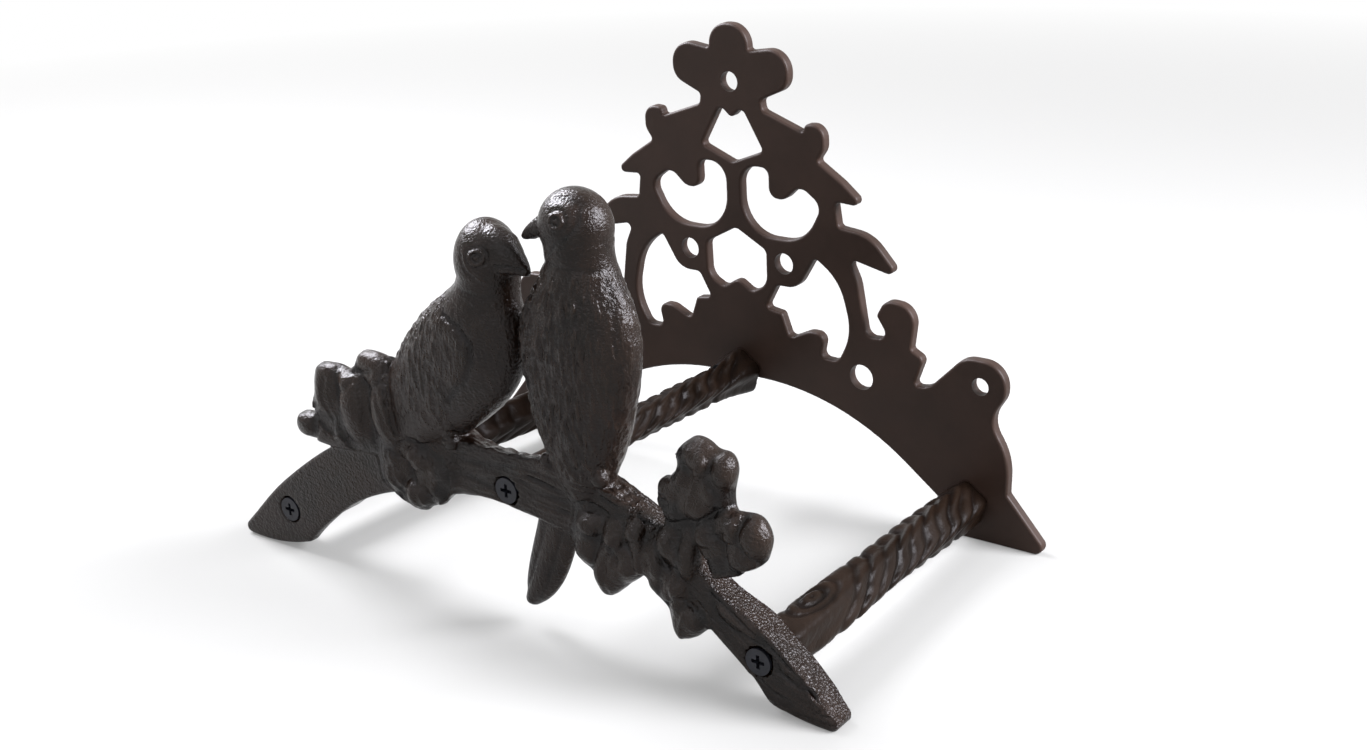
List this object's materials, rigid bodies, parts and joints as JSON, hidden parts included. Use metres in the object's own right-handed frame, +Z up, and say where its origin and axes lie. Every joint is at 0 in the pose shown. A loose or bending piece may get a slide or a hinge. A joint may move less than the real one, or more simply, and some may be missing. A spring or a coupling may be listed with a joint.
{
  "type": "garden hose hanger",
  "caption": "Wall-mounted cast iron garden hose hanger: openwork back plate, three arms and an arched front branch with a pair of perched birds and leaves.",
  "frame": {"origin": "centre of the top wall screw hole in the plane of the back plate's wall face", "axes": "+X to the right seen from the front, +Y from the birds towards the wall (square to the wall face), +Z up"},
  "size_m": [0.2773, 0.1619, 0.1911],
  "materials": {
    "painted_cast_iron": "dark brown satin paint over cast iron, glossier on the front casting",
    "dark_steel": "black oxide steel screws"
  },
  "bodies": {
    "root": {"back_plate": "painted_cast_iron", "front_branch": "painted_cast_iron", "left_arm": "painted_cast_iron", "middle_arm": "painted_cast_iron", "right_arm": "painted_cast_iron", "front_screws": "dark_steel", "rear_screws": "dark_steel"}
  },
  "joints": []
}
